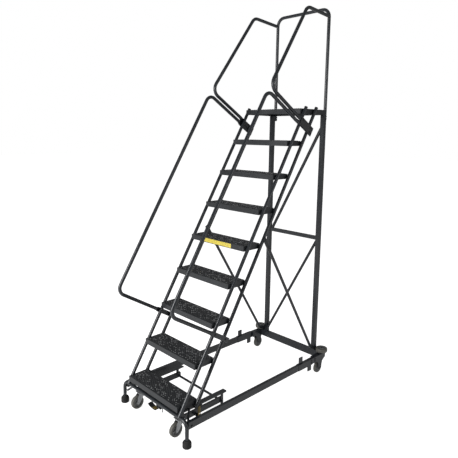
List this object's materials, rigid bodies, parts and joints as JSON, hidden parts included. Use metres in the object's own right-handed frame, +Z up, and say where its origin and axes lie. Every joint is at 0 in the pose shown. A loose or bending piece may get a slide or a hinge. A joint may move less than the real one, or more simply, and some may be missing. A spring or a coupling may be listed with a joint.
{
  "type": "rolling library ladder",
  "caption": "Tall rolling ladder of bent dark tube: inclined treads, a railed top platform, a braced base on feet, casters and bumper wheels.",
  "frame": {"origin": "on the floor, in the middle of the ladder's overall width and depth", "axes": "+X to the climber's right, +Y from the front foot of the steps to the back, +Z up"},
  "size_m": [0.825, 1.6899, 3.1155],
  "materials": {
    "frame_enamel": "dark grey powder coat, satin",
    "tread_enamel": "dark powder coat over punched grip sheet",
    "foot_rubber": "matt black",
    "wheel_rubber": "grey moulded tread",
    "zinc_plate": "bright zinc plate",
    "yellow_zinc": "yellow passivated zinc",
    "plug_plastic": "black moulded plugs"
  },
  "bodies": {
    "ladder": {"base_rail_left": "frame_enamel", "base_rail_right": "frame_enamel", "foot_left": "foot_rubber", "foot_right": "foot_rubber", "front_frame": "frame_enamel", "guard_rail_left": "frame_enamel", "guard_rail_right": "frame_enamel", "handrail_left": "frame_enamel", "handrail_right": "frame_enamel", "leg_strut_left": "frame_enamel", "leg_strut_right": "frame_enamel", "lock_spring_left": "yellow_zinc", "lock_spring_right": "yellow_zinc", "pedal_bracket": "frame_enamel", "pivot_rod": "frame_enamel", "platform": "tread_enamel", "post_left": "frame_enamel", "post_right": "frame_enamel", "rail_sleeve_left": "frame_enamel", "rail_sleeve_right": "frame_enamel", "rear_brace_level": "frame_enamel", "rear_brace_lower": "frame_enamel", "rear_brace_upper": "frame_enamel", "rear_caster_bracket_left": "frame_enamel", "rear_caster_bracket_right": "frame_enamel", "rear_crossbar": "frame_enamel", "rear_rail": "frame_enamel", "side_brace_left": "frame_enamel", "side_brace_right": "frame_enamel", "step_1": "tread_enamel", "step_2": "tread_enamel", "step_3": "tread_enamel", "step_4": "tread_enamel", "step_5": "tread_enamel", "step_6": "tread_enamel", "step_7": "tread_enamel", "step_8": "tread_enamel", "step_frame_left": "frame_enamel", "step_frame_right": "frame_enamel", "stringer_cap_front_left": "plug_plastic", "stringer_cap_front_right": "plug_plastic", "stringer_cap_rear_left": "plug_plastic", "stringer_cap_rear_right": "plug_plastic", "stringer_front_left": "frame_enamel", "stringer_front_right": "frame_enamel", "stringer_rear_left": "frame_enamel", "stringer_rear_right": "frame_enamel"},
    "rocker": {"caster_frame": "frame_enamel", "caster_plate_left": "zinc_plate", "caster_plate_right": "zinc_plate"},
    "left_fork": {"caster_fork_left": "zinc_plate"},
    "right_fork": {"caster_fork_right": "zinc_plate"},
    "left_front_wheel": {"front_wheel_left": "wheel_rubber"},
    "right_front_wheel": {"front_wheel_right": "wheel_rubber"},
    "left_rear_wheel": {"rear_wheel_left": "wheel_rubber"},
    "right_rear_wheel": {"rear_wheel_right": "wheel_rubber"},
    "left_bumper": {"bumper_wheel_left": "wheel_rubber"},
    "right_bumper": {"bumper_wheel_right": "wheel_rubber"},
    "pedal": {"release_pedal": "yellow_zinc"}
  },
  "joints": [
    {"name": "rocker_hinge", "type": "hinge", "parent": "ladder", "child": "rocker", "pos_m": [0, -0.33254, 0.114], "axis": [1, 0, 0], "range_deg": [0, 1.7], "deforming": ["lock_spring_left", "lock_spring_right"]},
    {"name": "pedal_hinge", "type": "hinge", "parent": "ladder", "child": "pedal", "pos_m": [0, -0.74154, 0.139], "axis": [1, 0, 0], "range_deg": [0, 16], "stiffness_Nm_per_rad": 0.5, "springref_deg": -20.05},
    {"name": "left_swivel", "type": "hinge", "parent": "rocker", "child": "left_fork", "pos_m": [-0.236, -0.71354, 0.1], "axis": [0, 0, 1], "continuous": true},
    {"name": "left_front_spin", "type": "hinge", "parent": "left_fork", "child": "left_front_wheel", "pos_m": [-0.236, -0.74354, 0.051], "axis": [1, 0, 0], "continuous": true},
    {"name": "left_rear_spin", "type": "hinge", "parent": "ladder", "child": "left_rear_wheel", "pos_m": [-0.356, 0.75046, 0.051], "axis": [1, 0, 0], "continuous": true},
    {"name": "left_bumper_spin", "type": "hinge", "parent": "ladder", "child": "left_bumper", "pos_m": [-0.362, 0.79446, 0.2], "axis": [0, 0, 1], "continuous": true},
    {"name": "right_swivel", "type": "hinge", "parent": "rocker", "child": "right_fork", "pos_m": [0.236, -0.71354, 0.1], "axis": [0, 0, 1], "continuous": true},
    {"name": "right_front_spin", "type": "hinge", "parent": "right_fork", "child": "right_front_wheel", "pos_m": [0.236, -0.74354, 0.051], "axis": [1, 0, 0], "continuous": true},
    {"name": "right_rear_spin", "type": "hinge", "parent": "ladder", "child": "right_rear_wheel", "pos_m": [0.356, 0.75046, 0.051], "axis": [1, 0, 0], "continuous": true},
    {"name": "right_bumper_spin", "type": "hinge", "parent": "ladder", "child": "right_bumper", "pos_m": [0.362, 0.79446, 0.2], "axis": [0, 0, 1], "continuous": true}
  ]
}
